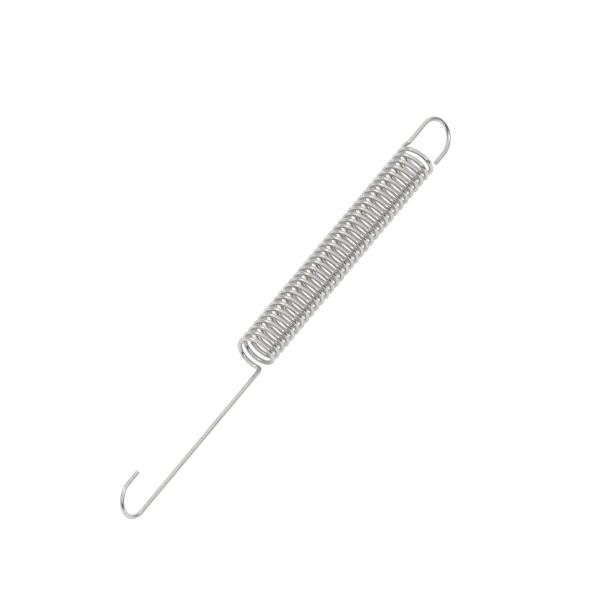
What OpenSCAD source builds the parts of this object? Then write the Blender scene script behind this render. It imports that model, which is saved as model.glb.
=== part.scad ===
// Extension spring of round wire, with one hook on a long leg and the other, raised, close to the coil.
// It lies on its side as it comes to rest, with the coil's axis along X and the long leg toward -X.
// Angles around the coil run from +Y toward +Z, as the coil stands before it is rolled to its rest.

/* [Wire] */
// Diameter of the wire
wire_d = 1; // [0.9:0.1:1.1]

/* [Coil] */
// Outside diameter of the coil
coil_od = 9; // [8.6:0.1:9.2]
// Distance from one turn to the next
pitch = 1.94; // [1.6:0.02:2.4]
// Whole turns
whole_turns = 33; // [20:1:36]
// Degrees past the whole turns, which set the two hooks against each other
part_turn = 143; // [135:1:150]
// Angle around the coil at which its first turn begins, by the long leg
coil_start = 232; // [225:1:240]
// Radius of the sharp bends where the wire leaves the coil, at the wire's centre
bend_r = 1; // [0.8:0.1:1.3]

/* [Long hook] */
// Straight leg between the coil and the long hook
long_leg = 45.8; // [20:0.1:60]
// Radius of the long hook, at the wire's centre
long_hook_r = 4.4; // [4:0.1:4.8]
// Direction in which the long hook curls away from its leg
long_hook_dir = 45; // [40:1:50]
// Straight end past the long hook's curve
long_tail = 3.6; // [2:0.1:8]

/* [Short hook] */
// Straight leg between the coil and the short hook
short_leg = 5.1; // [4:0.1:12]
// Radius of the short hook, at the wire's centre
short_hook_r = 4.5; // [4.4:0.1:4.8]
// Direction in which the short hook curls away from its leg
short_hook_dir = 215; // [210:1:220]
// Straight end past the short hook's curve, shorter than its leg so that it stays clear of the coil
short_tail = 3; // [1:0.1:3.5]

/* [Hidden] */
steel = [0.72, 0.72, 0.71];
$fn = 48;

// Stretches of wire stop this far short of each other. A six-sided core inside the wire joins them.
seam = 0.004;
core_d = wire_d * 0.98;
core_len = wire_d * 0.3;

// The coil is a chain of flat quarter turns and a shorter last arc. Two that meet have the same tangent.
coil_r = (coil_od - wire_d) / 2;
wound = whole_turns * 360 + part_turn;
quarters = floor(wound / 90);
// Slope of the wire where two arcs meet, which keeps them flat
lead = atan(pitch / (8 * coil_r));
arc_along = [sin(lead), 0, cos(lead)];

// How far a flat arc climbs along the coil's axis, and where the coil's turns have come to at an angle
function arc_rise(span) = 2 * coil_r * tan(span / 2) * tan(lead);
function climb(angle) = floor(angle / 90) * arc_rise(90) + arc_rise(angle % 90);

// Straight line between the ends of a flat arc, and how far the arc turns
function arc_chord(span) = [arc_rise(span), coil_r * (cos(span) - 1), coil_r * sin(span)];
function arc_turn(span) = 2 * acos(arc_chord(span) * arc_along / norm(arc_chord(span)));

// Legs and tails, looking along the coil's axis
coil_end = coil_start + wound;
leg_step = bend_r * (1 - sin(lead));
function out(a) = [cos(a), sin(a)];
function round_coil(a) = [-sin(a), cos(a)];
long_leg_at = coil_r * out(coil_start) - leg_step * round_coil(coil_start);
long_tail_at = long_leg_at + 2 * long_hook_r * out(long_hook_dir);
short_leg_at = coil_r * out(coil_end) + leg_step * round_coil(coil_end);
short_tail_at = short_leg_at + 2 * short_hook_r * out(short_hook_dir);

// The spring rests on its coil and on the short hook's tail, the lowest of the four straight stretches.
down = atan2(short_tail_at.y, short_tail_at.x) + acos(coil_r / norm(short_tail_at));
rest_roll = -90 - down;

// Middle of the whole part, with the coil starting at X = 0
function rolled_y(p) = p.x * cos(rest_roll) - p.y * sin(rest_roll);
straights_y = [for (p = [long_leg_at, long_tail_at, short_leg_at, short_tail_at]) rolled_y(p)];
side_lo = min(-coil_r, min(straights_y));
side_hi = max(coil_r, max(straights_y));
bend_rise = bend_r * cos(lead);
end_lo = -bend_rise - long_leg - long_hook_r;
end_hi = climb(wound) + bend_rise + short_leg + short_hook_r;

// Wire along +Z from the origin. Each stretch hands its far end to its children.

module core() {
  cylinder(d = core_d, h = core_len, center = true, $fn = 6);
}

module straight(length) {
  core();
  translate([0, 0, seam]) cylinder(d = wire_d, h = length - seam);
  translate([0, 0, length]) children();
}

// Curve of the wire's centre with radius r, turning from +Z toward +X
module bend(r, angle) {
  gap_angle = seam / r * 180 / PI;
  core();
  translate([r, 0, 0])
    rotate([90, 0, 0])
      rotate([0, 0, 180 - angle])
        rotate_extrude(angle = angle - gap_angle)
          translate([r, 0]) circle(d = wire_d);
  translate([r, 0, 0])
    rotate([0, angle, 0])
      translate([-r, 0, 0]) children();
}

// Place on the coil at an angle measured from where the coil starts, with +Z along the wire
module on_coil(angle) {
  translate([climb(angle), 0, 0])
    rotate([coil_start + angle, 0, 0])
      translate([0, coil_r, 0])
        rotate([0, lead, 0]) children();
}

// Flat arc of the coil, twisted about the wire until it bends toward the middle of its own circle
module arc(from, span) {
  chord = arc_chord(span);
  inward = chord - (chord * arc_along) * arc_along;
  twist = atan2(inward.y, inward.x * cos(lead) - inward.z * sin(lead));
  on_coil(from)
    rotate([0, 0, twist]) bend(norm(chord) / (2 * sin(arc_turn(span) / 2)), arc_turn(span));
}

module coil() {
  for (i = [0 : quarters - 1])
    arc(i * 90, 90);
  arc(quarters * 90, wound - quarters * 90);
}

// Hook at the end of a leg: a sharp bend off the coil, the leg, half a circle and a short straight end
module hook(leg, twist, r, tail) {
  bend(bend_r, 90 - lead)
    straight(leg)
      rotate([0, 0, twist])
        bend(r, 180)
          straight(tail);
}

module long_hook() {
  on_coil(0)
    rotate([0, 180, 0])
      hook(long_leg, coil_start + 90 - long_hook_dir, long_hook_r, long_tail);
}

module short_hook() {
  on_coil(wound)
    hook(short_leg, short_hook_dir - coil_end + 90, short_hook_r, short_tail);
}

module spring() {
  color(steel)
    translate([-(end_lo + end_hi) / 2, -(side_lo + side_hi) / 2, coil_od / 2])
      rotate([rest_roll, 0, 0]) {
        coil();
        long_hook();
        short_hook();
      }
}

spring();
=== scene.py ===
"""Dresses the extension spring: one length of steel wire, wound, bent and cut, on a plain pale floor."""

import math

import bmesh
import bpy
from bpy.props import FloatProperty, FloatVectorProperty, IntProperty, PointerProperty
from mathutils import Matrix, Vector


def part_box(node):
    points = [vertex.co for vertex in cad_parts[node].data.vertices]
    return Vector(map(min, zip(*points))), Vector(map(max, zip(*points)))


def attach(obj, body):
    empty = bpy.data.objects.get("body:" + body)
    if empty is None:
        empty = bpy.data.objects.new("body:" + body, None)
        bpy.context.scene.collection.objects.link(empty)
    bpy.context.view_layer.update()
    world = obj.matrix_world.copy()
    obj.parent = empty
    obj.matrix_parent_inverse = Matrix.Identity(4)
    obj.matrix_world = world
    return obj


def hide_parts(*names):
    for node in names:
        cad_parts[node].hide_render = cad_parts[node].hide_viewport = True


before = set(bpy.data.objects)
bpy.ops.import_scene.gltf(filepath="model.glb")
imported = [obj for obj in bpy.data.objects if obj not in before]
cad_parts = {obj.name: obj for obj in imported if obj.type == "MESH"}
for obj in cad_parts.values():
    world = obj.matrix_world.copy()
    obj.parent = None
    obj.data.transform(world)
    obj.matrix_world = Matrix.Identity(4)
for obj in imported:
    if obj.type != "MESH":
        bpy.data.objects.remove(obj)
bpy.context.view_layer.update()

bl_info = {
    "name": "Extension spring",
    "version": (1, 0, 0),
    "blender": (4, 5, 0),
    "location": "View3D > Sidebar > Spring",
    "description": "Winds, hooks and finishes a wire extension spring and sets it on a pale floor",
    "category": "Add Mesh",
}

MM = 0.001
NODE = "spring"
LOW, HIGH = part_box(NODE)

# Grain of the finish, as cycles a metre across the wire, across it again and along it
DIE_LINES = (26000, 26000, 160)
PATCHES = (900, 900, 260)
TOOL_MARKS = (1400, 1400, 6500)
SHEAR_LINES = (60000, 7000, 1)

# Directions of the two soft boxes from the spring, their width and height, and how far off they stand
KEY_TOWARD = (-0.35, 0.67, 0.66)
KEY_SIZE = (0.18, 0.12)
FILL_TOWARD = (0.07, -0.8, 0.6)
FILL_SIZE = (0.16, 0.1)
LAMP_AWAY = 0.5

# Direction, along X and Y, of the dark opening in the room
OPENING_ALONG = -0.34
OPENING_SIDE = -0.94

FLOOR_SIDE = 6.0
CAMERA_AWAY = 0.6

# Faces that meet at more than this angle show an edge between them
EDGE_ANGLE = math.radians(40)


def length(name, description, millimetres):
    """A length that the user can change."""
    return FloatProperty(
        name=name, description=description, default=millimetres * MM, unit="LENGTH", precision=5
    )


def turn(name, description, degrees):
    """An angle that the user can change."""
    return FloatProperty(
        name=name, description=description, default=math.radians(degrees), subtype="ANGLE"
    )


def tint(name, description, colour):
    """A colour that the user can change."""
    return FloatVectorProperty(
        name=name, description=description, default=colour, size=3, subtype="COLOR"
    )


def watts(name, description, power):
    """The power of a lamp that the user can change."""
    return FloatProperty(name=name, description=description, default=power, min=0, unit="POWER")


def count(name, description, default, least, most):
    """A whole number that the user can change."""
    return IntProperty(name=name, description=description, default=default, min=least, max=most)


class SpringSizes(bpy.types.PropertyGroup):
    """Sizes of the wire, its coil and its two hooks."""

    wire: length("Wire", "Diameter of the wire", 1.0)
    coil: length("Coil", "Outside diameter of the coil", 9.0)
    pitch: length("Pitch", "Distance from one turn to the next", 1.94)
    wound: turn("Wound", "Angle through which the coil is wound, 33 turns and 143 degrees", 33 * 360 + 143)
    start: turn("Start", "Angle around the coil at which the long leg leaves it", 232)
    elbow: length("Elbow", "Radius of the sharp bends off the coil, at the wire's centre", 1.0)
    long_leg: length("Long leg", "Straight leg between the coil and the long hook", 45.8)
    long_hook: length("Long hook", "Radius of the long hook, at the wire's centre", 4.4)
    long_way: turn("Long hook's way", "Direction in which the long hook curls off its leg", 45)
    long_tail: length("Long hook's end", "Straight end of the long hook", 3.6)
    short_leg: length("Short leg", "Straight leg between the coil and the short hook", 5.1)
    short_hook: length("Short hook", "Radius of the short hook, at the wire's centre", 4.5)
    short_way: turn("Short hook's way", "Direction in which the short hook curls off its leg", 215)
    short_tail: length("Short hook's end", "Straight end of the short hook", 3.0)
    burr: length("Cut edge", "Size of the dulled edge that the cutter leaves at each end", 0.05)
    sides: count("Sides", "Faces around the wire", 24, least=8, most=48)
    steps: count("Steps", "Rings in each turn of the coil", 72, least=24, most=144)
    elbow_steps: count("Elbow steps", "Rings in each sharp bend", 18, least=4, most=48)
    hook_steps: count("Hook steps", "Rings in each half-round hook", 56, least=12, most=144)


class SpringLooks(bpy.types.PropertyGroup):
    """Finish of the steel, and the studio that it lies in."""

    steel: tint("Steel", "Colour of the clean steel", (0.62, 0.614, 0.604))
    dull: tint("Dull steel", "Colour of the steel in the drawing lines and tool marks", (0.44, 0.435, 0.428))
    cut: tint("Cut steel", "Colour of the bare ends that the cutter left", (0.52, 0.515, 0.51))
    glance: tint("Glancing light", "Strength of what the steel mirrors at its edges", (0.7, 0.7, 0.7))
    polish: FloatProperty(
        name="Roughness",
        description="Roughness of the clean steel",
        default=0.1,
        min=0,
        max=1,
        subtype="FACTOR",
    )
    floor: tint("Floor", "Colour of the floor", (0.25, 0.25, 0.25))
    glow: FloatProperty(name="Glow", description="Strength of the floor's own light", default=0.84, min=0)
    warm: tint("Warm lamp", "Colour of the soft box on the left", (1.0, 0.97, 0.92))
    cool: tint("Cool lamp", "Colour of the soft box on the right", (0.96, 0.98, 1.0))
    key: watts("Key", "Power of the soft box on the left", 0.11)
    fill: watts("Fill", "Power of the soft box on the right", 0.13)
    warm_wall: tint("Warm wall", "Colour of the room on the left", (1.0, 0.96, 0.88))
    cool_wall: tint("Cool wall", "Colour of the room on the right", (0.96, 0.967, 1.0))
    tilt: turn("Tilt", "Angle by which the coil's axis leans toward the camera", 29.08)
    slant: turn("Slant", "Angle at which the coil climbs across the picture", 50.15)
    view: length("View", "Width that the picture takes in", 131.58)
    aim: length("Aim", "Place on the coil's axis, along X, from which the picture's middle is set", 19.043)
    left: length("Left", "How far the picture's middle lies to the left of the aim", 7.243)
    below: length("Below", "How far the picture's middle lies below the aim", 8.871)


def deselect_all():
    """Leaves edit mode and deselects every object, the loaded nodes too."""
    if bpy.context.mode != "OBJECT":
        bpy.ops.object.mode_set(mode="OBJECT")
    bpy.ops.object.select_all(action="DESELECT")


def pick(obj):
    """Makes obj the only selected object and the active one."""
    deselect_all()
    obj.select_set(True)
    bpy.context.view_layer.objects.active = obj


def select_ring(obj, centre, reach):
    """In edit mode, selects the open ring of edges within reach of a point."""
    mesh = bmesh.from_edit_mesh(obj.data)
    bpy.ops.mesh.select_mode(type="EDGE")
    bpy.ops.mesh.select_all(action="DESELECT")
    found = 0
    for edge in mesh.edges:
        middle = (edge.verts[0].co + edge.verts[1].co) / 2
        if edge.is_boundary and (middle - centre).length < reach:
            edge.select_set(True)
            found += 1
    mesh.select_flush_mode()
    bmesh.update_edit_mesh(obj.data)
    if not found:
        raise RuntimeError(f"no open ring of wire lies at {tuple(centre)}")


def coil_point(sizes, turned):
    """Centre of the wire once the coil has turned by an angle, winding along X from X = 0."""
    angle = sizes.start + turned
    radius = (sizes.coil - sizes.wire) / 2
    return Vector((sizes.pitch * turned / math.tau, radius * math.cos(angle), radius * math.sin(angle)))


def around(sizes, turned):
    """Unit vector round the coil, in the direction of winding."""
    angle = sizes.start + turned
    return Vector((0, -math.sin(angle), math.cos(angle)))


def outward(angle):
    """Unit vector across the coil's axis at an angle from +Y toward +Z."""
    return Vector((0, math.cos(angle), math.sin(angle)))


def lead(sizes):
    """Slope of the coil's wire."""
    return math.atan(sizes.pitch / (math.pi * (sizes.coil - sizes.wire)))


def wind_coil(sizes):
    """A ring of wire swept along the helix by a screw."""
    deselect_all()
    centre = coil_point(sizes, 0)
    out = outward(sizes.start)
    # The circle's own Z points round the coil, so that the ring lies in a plane with the coil's axis.
    axis = Vector((1, 0, 0))
    facing = Matrix((axis, out, axis.cross(out))).transposed()
    bpy.ops.mesh.primitive_circle_add(
        vertices=sizes.sides,
        radius=sizes.wire / 2,
        fill_type="NOTHING",
        location=centre,
        rotation=facing.to_euler(),
    )
    obj = bpy.context.object
    obj.name = "wire_spring"
    drawn = obj.data.attributes.new("drawn", "FLOAT_VECTOR", "POINT")
    for vert, place in zip(obj.data.vertices, drawn.data):
        place.vector = vert.co
    bpy.ops.object.transform_apply(location=True, rotation=True, scale=True)
    screw = obj.modifiers.new("Winding", "SCREW")
    screw.axis = "X"
    screw.angle = sizes.wound
    screw.screw_offset = sizes.pitch * sizes.wound / math.tau
    screw.iterations = 1
    screw.steps = screw.render_steps = round(sizes.steps * sizes.wound / math.tau)
    screw.use_merge_vertices = False
    screw.use_smooth_shade = True
    bpy.ops.object.modifier_apply(modifier=screw.name)
    return obj


def bend_hook(obj, sizes, turned, sense, leg, radius, way, tail):
    """Bends the wire off the coil at one end, draws the leg out, curls the hook and cuts its straight end.

    sense is +1 at the far end of the winding and -1 at its start. All of it happens at the open ring.
    """
    slope = lead(sizes)
    at = coil_point(sizes, turned)
    forward = around(sizes, turned) * sense
    away = Vector((sense, 0, 0))
    select_ring(obj, at, sizes.wire)
    # The last ring of the coil is tilted square to the wire before it is bent.
    axis = forward.cross(away)
    tilt = Matrix.Rotation(slope, 4, axis)
    mesh = bmesh.from_edit_mesh(obj.data)
    ring = {vert for edge in mesh.edges if edge.select for vert in edge.verts}
    for vert in ring:
        vert.co = at + tilt @ (vert.co - at)
    bmesh.update_edit_mesh(obj.data)
    inward = (away * math.cos(slope) - forward * math.sin(slope)).normalized()
    pivot = at + inward * sizes.elbow
    bend = math.pi / 2 - slope
    at = spin(at, pivot, axis, bend, sizes.elbow_steps)
    at = draw(at, away * leg)
    curl = outward(way)
    pivot = at + curl * radius
    at = spin(at, pivot, away.cross(curl), math.pi, sizes.hook_steps)
    at = draw(at, away * (sizes.burr - tail))
    at = draw(at, -away * sizes.burr)
    narrow = 1 - 2 * sizes.burr / sizes.wire
    bpy.ops.transform.resize(value=(narrow, narrow, narrow), center_override=at)
    bpy.ops.mesh.edge_face_add()


def spin(at, pivot, axis, angle, steps):
    """Spins the selected ring about a pivot, and returns where its centre comes to."""
    # The operator counts its angle clockwise about the axis.
    bpy.ops.mesh.spin(steps=steps, angle=-angle, center=pivot, axis=axis, dupli=False)
    return pivot + Matrix.Rotation(angle, 3, axis) @ (at - pivot)


def draw(at, move):
    """Extrudes the selected ring along a straight stretch, and returns where its centre comes to."""
    bpy.ops.mesh.extrude_region_move(TRANSFORM_OT_translate={"value": move})
    return at + move


def measure_wire(obj, sizes):
    """Gives each point its distance along the straight wire, and marks where it was bent and cut.

    The walk starts at the long hook's end and goes from ring to ring.
    """
    mesh = bmesh.new()
    mesh.from_mesh(obj.data)
    drawn = mesh.verts.layers.float_vector["drawn"]
    bent = mesh.verts.layers.float.new("bent")
    cut = mesh.verts.layers.float.new("cut")
    ends = [face for face in mesh.faces if len(face.verts) == sizes.sides]
    ends.sort(key=lambda face: face.calc_center_median().x)
    if len(ends) != 2:
        raise RuntimeError(f"the wire has {len(ends)} cut ends and not 2")
    for face in ends:
        for vert in face.verts:
            vert[cut] = 1.0
    ring = list(ends[0].verts)
    seen = set(ring)
    rings = [(0.0, ring)]
    along = 0.0
    while True:
        ahead = {edge.other_vert(vert): vert for vert in ring for edge in vert.link_edges}
        ahead = {new: old for new, old in ahead.items() if new not in seen}
        if not ahead:
            break
        along += sum((new.co - old.co).length for new, old in ahead.items()) / len(ahead)
        ring = list(ahead)
        seen.update(ring)
        rings.append((along, ring))
    stretches = worked_stretches(sizes, along)
    for distance, ring in rings:
        worked = max(near_stretch(distance, stretch, sizes.wire) for stretch in stretches)
        for vert in ring:
            place = vert[drawn]
            vert[drawn] = (place.x, place.y, distance)
            vert[bent] = worked
    mesh.to_mesh(obj.data)
    mesh.free()


def worked_stretches(sizes, whole):
    """Stretches that a tool bent, both hooks and both sharp bends, along the whole straight wire."""
    elbow = sizes.elbow * (math.pi / 2 - lead(sizes))
    stretches = []
    for tail, hook, leg, mirror in (
        (sizes.long_tail, sizes.long_hook, sizes.long_leg, False),
        (sizes.short_tail, sizes.short_hook, sizes.short_leg, True),
    ):
        curl = (tail, tail + math.pi * hook)
        corner = (curl[1] + leg, curl[1] + leg + elbow)
        for near, far in (curl, corner):
            stretches.append((whole - far, whole - near) if mirror else (near, far))
    return stretches


def near_stretch(distance, stretch, fade):
    """1 inside a stretch, fading to 0 within a length past its ends."""
    past = max(stretch[0] - distance, distance - stretch[1], 0.0)
    return max(0.0, 1.0 - past / fade)


def rest_roll(sizes):
    """Roll about the coil's axis that sets the coil and the short hook's straight end on the floor."""
    radius = (sizes.coil - sizes.wire) / 2
    step = sizes.elbow * (1 - math.sin(lead(sizes)))
    leg = radius * outward(sizes.start + sizes.wound) + step * around(sizes, sizes.wound)
    tail = leg + 2 * sizes.short_hook * outward(sizes.short_way)
    down = math.atan2(tail.z, tail.y) + math.acos(radius / tail.length)
    return -math.pi / 2 - down


def lay_down(obj, sizes):
    """Rolls the spring on to its coil and the short hook's end, as it comes to rest, and centres it."""
    obj.rotation_euler.x = rest_roll(sizes)
    bpy.ops.object.transform_apply(location=False, rotation=True, scale=False)
    ends = [vert.co.x for vert in obj.data.vertices]
    obj.location = ((LOW.x + HIGH.x - min(ends) - max(ends)) / 2, 0, sizes.coil / 2)
    bpy.ops.object.transform_apply(location=True, rotation=False, scale=False)


class Value:
    """A number on a shader socket, so that a sum or product of values adds its Math node."""

    def __init__(self, shader, socket):
        self.shader = shader
        self.socket = socket

    def maths(self, operation, first, second):
        inputs = [part.socket if isinstance(part, Value) else part for part in (first, second)]
        node = self.shader.node("ShaderNodeMath", {"operation": operation}, {0: inputs[0], 1: inputs[1]})
        return Value(self.shader, node.outputs[0])

    def __add__(self, other):
        return self.maths("ADD", self, other)

    def __radd__(self, other):
        return self.maths("ADD", other, self)

    def __sub__(self, other):
        return self.maths("SUBTRACT", self, other)

    def __rsub__(self, other):
        return self.maths("SUBTRACT", other, self)

    def __mul__(self, other):
        return self.maths("MULTIPLY", self, other)

    def __rmul__(self, other):
        return self.maths("MULTIPLY", other, self)


class Shader:
    """The node tree of a material or of the room, with one way to add any node."""

    def __init__(self, owner):
        owner.use_nodes = True
        self.tree = owner.node_tree
        self.tree.nodes.clear()

    def node(self, kind, settings=None, sockets=None):
        """Adds a node, sets it up, then gives its sockets their values or links."""
        node = self.tree.nodes.new(kind)
        for name, setting in (settings or {}).items():
            setattr(node, name, setting)
        for name, given in (sockets or {}).items():
            given = given.socket if isinstance(given, Value) else given
            if isinstance(given, bpy.types.NodeSocket):
                self.tree.links.new(given, node.inputs[name])
            else:
                node.inputs[name].default_value = given
        return node

    def noise(self, place, scale, detail, spread=0.5):
        """A grain whose size differs along each of the three directions, as a value about 0.5."""
        stretched = self.node("ShaderNodeVectorMath", {"operation": "MULTIPLY"}, {0: place, 1: scale})
        grain = self.node(
            "ShaderNodeTexNoise",
            {"noise_dimensions": "3D"},
            {"Vector": stretched.outputs[0], "Scale": 1.0, "Detail": detail, "Roughness": spread},
        )
        return Value(self, grain.outputs[0])

    def step(self, value, low, high):
        """Rises smoothly from 0 to 1 as a value goes from low to high."""
        node = self.node(
            "ShaderNodeMapRange",
            {"interpolation_type": "SMOOTHSTEP"},
            {"Value": value, "From Min": low, "From Max": high},
        )
        return Value(self, node.outputs[0])

    def mix(self, amount, first, second):
        """Mixes two colours."""
        node = self.node("ShaderNodeMix", {"data_type": "RGBA"}, {0: amount, 6: first, 7: second})
        return node.outputs[2]


def drawn_steel(looks, sizes):
    """Bright spring wire: faint die lines along it, tool marks where it was bent, and bare cut ends."""
    material = bpy.data.materials.new("drawn_steel")
    shader = Shader(material)
    place = shader.node("ShaderNodeAttribute", {"attribute_name": "drawn"}).outputs["Vector"]
    bent = Value(shader, shader.node("ShaderNodeAttribute", {"attribute_name": "bent"}).outputs["Fac"])
    cut = Value(shader, shader.node("ShaderNodeAttribute", {"attribute_name": "cut"}).outputs["Fac"])
    die_lines = shader.step(shader.noise(place, DIE_LINES, detail=3, spread=0.6), low=0.42, high=0.72)
    patches = shader.step(shader.noise(place, PATCHES, detail=3), low=0.4, high=0.68)
    tool_marks = shader.step(shader.noise(place, TOOL_MARKS, detail=2), low=0.55, high=0.7) * bent
    shear_lines = shader.noise(place, SHEAR_LINES, detail=2)
    dulled = (1 - cut) * (0.34 * die_lines + 0.2 * patches + 0.3 * tool_marks)
    colour = shader.mix(dulled, (*looks.steel, 1), (*looks.dull, 1))
    colour = shader.mix(cut, colour, (*looks.cut, 1))
    roughness = looks.polish + 0.1 * die_lines + 0.07 * patches + 0.1 * tool_marks + 0.2 * cut
    height = (1 - cut) * (die_lines + 0.8 * tool_marks) + 1.6 * cut * shear_lines
    deepest = sizes.wire * 0.004
    bump = shader.node("ShaderNodeBump", {}, {"Strength": 0.35, "Distance": deepest, "Height": height})
    steel = shader.node(
        "ShaderNodeBsdfPrincipled",
        {},
        {
            "Base Color": colour,
            "Metallic": 1.0,
            "Roughness": roughness,
            "Specular Tint": (*looks.glance, 1),
            "Normal": bump.outputs[0],
        },
    )
    shader.node("ShaderNodeOutputMaterial", {}, {"Surface": steel.outputs[0]})
    return material


def pale_floor(looks):
    """A plain matt floor with a glow of its own, like a light table, so that hardly a shadow shows."""
    material = bpy.data.materials.new("pale_floor")
    shader = Shader(material)
    matt = shader.node(
        "ShaderNodeBsdfPrincipled",
        {},
        {
            "Base Color": (*looks.floor, 1),
            "Roughness": 0.8,
            "Specular IOR Level": 0.2,
            "Emission Color": (1, 1, 1, 1),
            "Emission Strength": looks.glow,
        },
    )
    shader.node("ShaderNodeOutputMaterial", {}, {"Surface": matt.outputs[0]})
    return material


def lay_floor(looks):
    """A wide floor just under the spring, made in one square."""
    deselect_all()
    bpy.ops.mesh.primitive_plane_add(size=FLOOR_SIDE, location=(0, 0, 0))
    floor = bpy.context.object
    floor.name = "floor"
    floor.data.materials.append(pale_floor(looks))


def soft_box(name, toward, size, power, colour):
    """An area light of a given size that faces the spring's middle from one direction."""
    toward = Vector(toward).normalized()
    middle = (LOW + HIGH) / 2
    bpy.ops.object.light_add(type="AREA", location=middle + toward * LAMP_AWAY)
    lamp = bpy.context.object
    lamp.name = name
    lamp.rotation_euler = toward.to_track_quat("Z", "Y").to_euler()
    lamp.data.shape = "RECTANGLE"
    lamp.data.size, lamp.data.size_y = size
    lamp.data.energy = power
    lamp.data.color = colour


def set_room(scene, looks):
    """A pale room, bright above and on the left, with a dark opening low down on the camera's side."""
    room = bpy.data.worlds.new("pale_room")
    scene.world = room
    shader = Shader(room)
    direction = shader.node("ShaderNodeTexCoord").outputs["Generated"]
    parts = shader.node("ShaderNodeSeparateXYZ", {}, {0: direction})
    along = Value(shader, parts.outputs["X"])
    side = Value(shader, parts.outputs["Y"])
    height = Value(shader, parts.outputs["Z"])
    overhead = shader.step(height, low=0.3, high=0.52)
    zenith = shader.step(height, low=0.7, high=0.95)
    left = shader.step(side, low=-0.8, high=0.8)
    low_down = 1 - shader.step(height, low=0.2, high=0.42)
    opening = shader.step(OPENING_ALONG * along + OPENING_SIDE * side, low=0.1, high=0.8) * low_down
    light = 0.46 + 0.6 * overhead - 0.18 * zenith + 0.2 * left - 0.36 * opening
    colour = shader.mix(left, (*looks.cool_wall, 1), (*looks.warm_wall, 1))
    glow = shader.node("ShaderNodeBackground", {}, {"Color": colour, "Strength": light})
    shader.node("ShaderNodeOutputWorld", {}, {"Surface": glow.outputs[0]})


def set_camera(scene, sizes, looks):
    """A camera with parallel lines of sight, at the angle from which the spring was seen."""
    roll = Matrix.Rotation(rest_roll(sizes), 3, "X")
    axis = Vector((math.cos(looks.tilt), 0, math.sin(looks.tilt)))
    side = Vector((0, 1, 0))
    right = roll @ (axis * math.cos(looks.slant) - side * math.sin(looks.slant))
    up = roll @ (axis * math.sin(looks.slant) + side * math.cos(looks.slant))
    toward = right.cross(up)
    aim = Vector((looks.aim, 0, sizes.coil / 2))
    middle = aim - right * looks.left - up * looks.below
    bpy.ops.object.camera_add(location=middle + toward * CAMERA_AWAY)
    camera = bpy.context.object
    camera.name = "camera"
    camera.rotation_euler = Matrix((right, up, toward)).transposed().to_euler()
    camera.data.type = "ORTHO"
    camera.data.ortho_scale = looks.view
    camera.data.clip_start = 0.01
    camera.data.clip_end = 10.0
    scene.camera = camera


class SPRING_OT_wire(bpy.types.Operator):
    """Winds the coil, bends both hooks, closes the cut ends and lays the spring on its side."""

    bl_idname = "spring.wire"
    bl_label = "Wire spring"

    def execute(self, context):
        sizes = context.scene.spring_sizes
        obj = wind_coil(sizes)
        pick(obj)
        bpy.ops.object.mode_set(mode="EDIT")
        bend_hook(obj, sizes, 0.0, -1, sizes.long_leg, sizes.long_hook, sizes.long_way, sizes.long_tail)
        bend_hook(
            obj, sizes, sizes.wound, 1, sizes.short_leg, sizes.short_hook, sizes.short_way, sizes.short_tail
        )
        bpy.ops.mesh.select_all(action="SELECT")
        bpy.ops.mesh.remove_doubles(threshold=sizes.wire * 0.001)
        bpy.ops.mesh.normals_make_consistent(inside=False)
        bpy.ops.object.mode_set(mode="OBJECT")
        measure_wire(obj, sizes)
        lay_down(obj, sizes)
        bpy.ops.object.shade_smooth_by_angle(angle=EDGE_ANGLE)
        obj.data.materials.append(drawn_steel(context.scene.spring_looks, sizes))
        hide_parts(NODE)
        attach(obj, "root")
        return {"FINISHED"}


class SPRING_OT_stage(bpy.types.Operator):
    """Sets the floor, the soft studio light and the camera."""

    bl_idname = "spring.stage"
    bl_label = "Stage"

    def execute(self, context):
        scene = context.scene
        looks = scene.spring_looks
        lay_floor(looks)
        set_room(scene, looks)
        soft_box("key", KEY_TOWARD, KEY_SIZE, looks.key, looks.warm)
        soft_box("fill", FILL_TOWARD, FILL_SIZE, looks.fill, looks.cool)
        set_camera(scene, scene.spring_sizes, looks)
        scene.view_settings.view_transform = "Standard"
        return {"FINISHED"}


class SPRING_PT_panel(bpy.types.Panel):
    """Sizes and looks of the spring, with a button for each piece and for the stage."""

    bl_idname = "SPRING_PT_panel"
    bl_label = "Extension spring"
    bl_space_type = "VIEW_3D"
    bl_region_type = "UI"
    bl_category = "Spring"

    def draw(self, context):
        scene = context.scene
        for group in (scene.spring_sizes, scene.spring_looks):
            box = self.layout.box()
            for name in group.bl_rna.properties.keys():
                if name not in ("rna_type", "name"):
                    box.prop(group, name)
        self.layout.operator(SPRING_OT_wire.bl_idname)
        self.layout.operator(SPRING_OT_stage.bl_idname)


classes = (SpringSizes, SpringLooks, SPRING_OT_wire, SPRING_OT_stage, SPRING_PT_panel)


def register():
    for cls in classes:
        bpy.utils.register_class(cls)
    bpy.types.Scene.spring_sizes = PointerProperty(type=SpringSizes)
    bpy.types.Scene.spring_looks = PointerProperty(type=SpringLooks)


def unregister():
    del bpy.types.Scene.spring_looks
    del bpy.types.Scene.spring_sizes
    for cls in reversed(classes):
        bpy.utils.unregister_class(cls)


def main():
    register()
    bpy.ops.spring.stage()
    bpy.ops.spring.wire()


if __name__ == "__main__":
    main()
